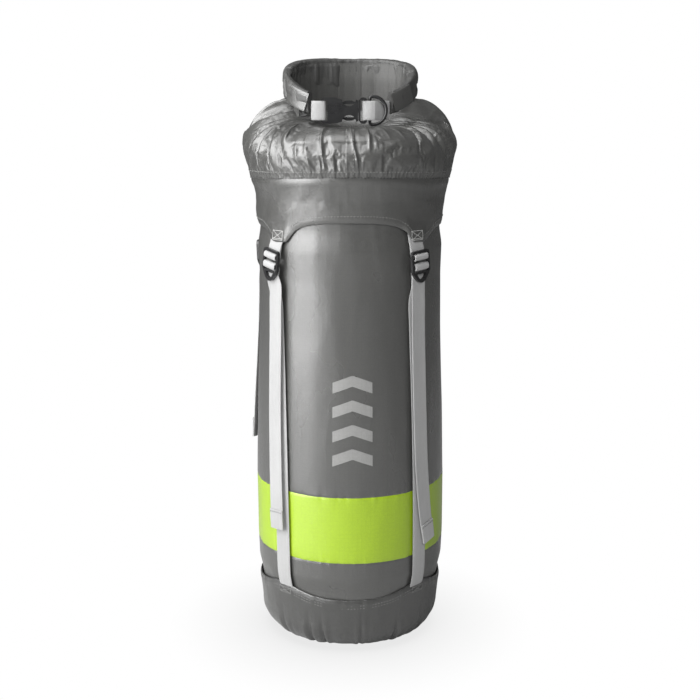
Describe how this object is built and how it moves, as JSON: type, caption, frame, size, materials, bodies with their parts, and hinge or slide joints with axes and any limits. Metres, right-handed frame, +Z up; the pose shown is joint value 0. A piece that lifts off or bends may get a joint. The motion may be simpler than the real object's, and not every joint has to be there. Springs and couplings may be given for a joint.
{
  "type": "stuff sack",
  "caption": "Tall roll-top compression stuff sack in grey coated fabric with a bright green band, a clipped rolled mouth with a D-ring, and strapped ladder-lock compression.",
  "frame": {"origin": "centre of the flat foot, on the floor under the middle of the sack", "axes": "+Z up along the sack, -Y towards the side with the closure buckle, +X towards the D-ring"},
  "size_m": [0.219, 0.219, 0.6087],
  "materials": {
    "grey_fabric": "coated ripstop nylon, glossy, satin sheen",
    "base_fabric": "coated nylon, satin",
    "green_fabric": "coated nylon, bright, satin",
    "webbing": "woven polyester webbing, matte",
    "buckle_plastic": "moulded acetal, semi-gloss",
    "ring_plastic": "moulded nylon, semi-gloss",
    "stiffener_plastic": "plain strip, matte"
  },
  "bodies": {
    "sack": {"bottom_panel": "base_fabric", "base_cap": "grey_fabric", "body_lower_panel": "grey_fabric", "body_band": "green_fabric", "body_upper_panel": "grey_fabric", "strap_front_left": "webbing", "strap_front_right": "webbing", "strap_rear_left": "webbing", "strap_rear_right": "webbing"},
    "cap": {"cap_skirt": "grey_fabric", "cap_shoulder": "grey_fabric", "roll_back": "grey_fabric", "roll_left_arm": "grey_fabric", "closure_stiffener": "stiffener_plastic", "webbing_left": "webbing", "buckle_female": "buckle_plastic", "strap_tab_front_left": "webbing", "strap_tab_front_right": "webbing", "strap_tab_rear_left": "webbing", "strap_tab_rear_right": "webbing", "strap_tail_front_left": "webbing", "strap_tail_front_right": "webbing", "strap_tail_rear_left": "webbing", "strap_tail_rear_right": "webbing"},
    "closure_end": {"roll_right_arm": "grey_fabric", "webbing_right": "webbing", "buckle_male": "buckle_plastic"},
    "prong_upper": {"prong_upper": "buckle_plastic"},
    "prong_lower": {"prong_lower": "buckle_plastic"},
    "d_ring": {"d_ring": "ring_plastic"},
    "lock_front_left": {"ladder_lock_front_left": "buckle_plastic"},
    "lock_front_right": {"ladder_lock_front_right": "buckle_plastic"},
    "lock_rear_left": {"ladder_lock_rear_left": "buckle_plastic"},
    "lock_rear_right": {"ladder_lock_rear_right": "buckle_plastic"}
  },
  "joints": [
    {"name": "compress", "type": "slide", "parent": "sack", "child": "cap", "axis": [0, 0, -1], "range_m": [0, 0.1], "deforming": ["body_upper_panel", "strap_front_left", "strap_front_right", "strap_rear_left", "strap_rear_right"]},
    {"name": "unclip", "type": "slide", "parent": "cap", "child": "closure_end", "axis": [1, 0, 0], "range_m": [0, 0.022], "deforming": ["closure_stiffener"]},
    {"name": "prong_upper_squeeze", "type": "hinge", "parent": "closure_end", "child": "prong_upper", "pos_m": [0.008, -0.052, 0.5636], "axis": [0, -1, 0], "range_deg": [0, 7], "stiffness_Nm_per_rad": 0.3},
    {"name": "prong_lower_squeeze", "type": "hinge", "parent": "closure_end", "child": "prong_lower", "pos_m": [0.008, -0.052, 0.548], "axis": [0, 1, 0], "range_deg": [0, 7], "stiffness_Nm_per_rad": 0.3},
    {"name": "d_ring_swing", "type": "hinge", "parent": "closure_end", "child": "d_ring", "pos_m": [0.0195, -0.052, 0.5558], "axis": [0, 0, -1], "range_deg": [0, 80]},
    {"name": "tilt_front_left", "type": "hinge", "parent": "cap", "child": "lock_front_left", "pos_m": [-0.07854, -0.06406, 0.4135], "axis": [-0.6242, 0.7654, 0.1564], "range_deg": [0, 25], "stiffness_Nm_per_rad": 0.02, "deforming": ["strap_tab_front_left", "strap_tail_front_left"]},
    {"name": "tilt_front_right", "type": "hinge", "parent": "cap", "child": "lock_front_right", "pos_m": [0.06951, -0.07376, 0.4135], "axis": [-0.725, -0.6832, -0.0872], "range_deg": [0, 25], "stiffness_Nm_per_rad": 0.02, "deforming": ["strap_tab_front_right", "strap_tail_front_right"]},
    {"name": "tilt_rear_left", "type": "hinge", "parent": "cap", "child": "lock_rear_left", "pos_m": [-0.09462, 0.03632, 0.4135], "axis": [0.357, 0.93, 0.0872], "range_deg": [0, 25], "stiffness_Nm_per_rad": 0.02, "deforming": ["strap_tab_rear_left", "strap_tail_rear_left"]},
    {"name": "tilt_rear_right", "type": "hinge", "parent": "cap", "child": "lock_rear_right", "pos_m": [0.07413, 0.06912, 0.4135], "axis": [0.6794, -0.7286, -0.0872], "range_deg": [0, 25], "stiffness_Nm_per_rad": 0.02, "deforming": ["strap_tab_rear_right", "strap_tail_rear_right"]}
  ]
}
